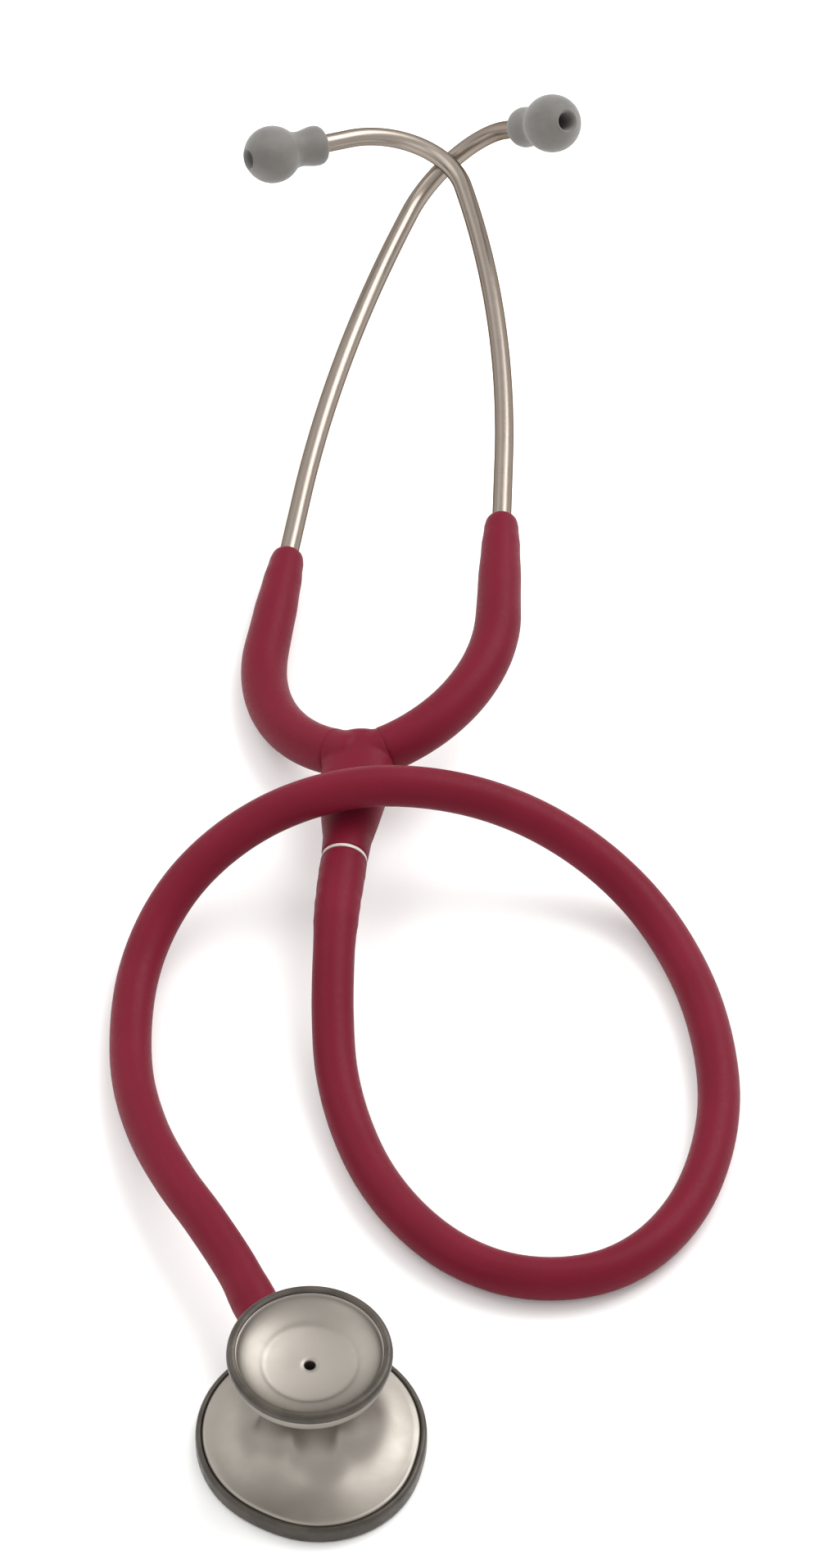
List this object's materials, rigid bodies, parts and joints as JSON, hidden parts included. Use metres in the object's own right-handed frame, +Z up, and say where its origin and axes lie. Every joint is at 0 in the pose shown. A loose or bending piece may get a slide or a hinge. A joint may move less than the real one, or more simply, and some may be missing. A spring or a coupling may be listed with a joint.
{
  "type": "stethoscope",
  "caption": "Dual-head stethoscope with a teardrop diaphragm side, an open bell, long flexible tubing, a U-shaped yoke and bent metal ear tubes with soft tips.",
  "frame": {"origin": "centre of the diaphragm's outer face, which lies on the table", "axes": "+Z up, along the chestpiece's axis from the diaphragm to the bell; +Y from the chestpiece towards the headset and ear tips; +X to the right"},
  "size_m": [0.1718, 0.4316, 0.0596],
  "materials": {
    "satin_metal": "satin bead-blasted champagne metal",
    "dark_ring": "dark grey-brown satin ring",
    "surround": "soft flexible ring",
    "diaphragm_film": "stiff pale resin disc",
    "o_ring": "black seal",
    "spring_steel": "bright steel",
    "burgundy_tubing": "satin burgundy PVC",
    "connector_metal": "pale machined metal",
    "ear_tube_metal": "satin champagne anodised",
    "eartip_rubber": "matte soft grey"
  },
  "bodies": {
    "root": {"tubing": "burgundy_tubing", "yoke_connector": "connector_metal", "yoke_junction": "burgundy_tubing", "leaf_spring": "spring_steel", "chestpiece_stem": "satin_metal", "stem_o_ring": "o_ring", "stem_retaining_ring": "spring_steel"},
    "chestpiece": {"chestpiece_body": "satin_metal", "bell_rim": "dark_ring", "diaphragm_rim": "dark_ring", "diaphragm_surround": "surround", "detent_ball": "spring_steel", "detent_spring": "spring_steel"},
    "diaphragm": {"diaphragm": "diaphragm_film"},
    "binaural_left": {"yoke_arm_left": "burgundy_tubing", "spring_clamp_left": "spring_steel", "ear_tube_left": "ear_tube_metal", "eartip_sleeve_left": "spring_steel", "eartip_left": "eartip_rubber"},
    "binaural_right": {"yoke_arm_right": "burgundy_tubing", "spring_clamp_right": "spring_steel", "ear_tube_right": "ear_tube_metal", "eartip_sleeve_right": "spring_steel", "eartip_right": "eartip_rubber"}
  },
  "joints": [
    {"name": "chestpiece_turn", "type": "hinge", "parent": "root", "child": "chestpiece", "pos_m": [0, 0, 0.0135], "axis": [-0.5592, 0.829, 0], "continuous": true},
    {"name": "diaphragm_press", "type": "slide", "parent": "chestpiece", "child": "diaphragm", "axis": [0, 0, 1], "range_m": [0, 0.0004], "stiffness_N_per_m": 300},
    {"name": "left_open", "type": "hinge", "parent": "root", "child": "binaural_left", "pos_m": [-0.02988, 0.19359, 0.0154], "axis": [0, 0, 1], "range_deg": [0, 2.5], "stiffness_Nm_per_rad": 2, "deforming": ["yoke_arm_left", "leaf_spring"]},
    {"name": "right_open", "type": "hinge", "parent": "root", "child": "binaural_right", "pos_m": [-0.01812, 0.19441, 0.0176], "axis": [0.8803, -0.3201, -0.3501], "range_deg": [0, 25], "stiffness_Nm_per_rad": 2, "deforming": ["yoke_arm_right", "leaf_spring"]}
  ],
  "couplings": [
    {"joint": "left_open", "follows": "right_open", "ratio": 0.09}
  ]
}
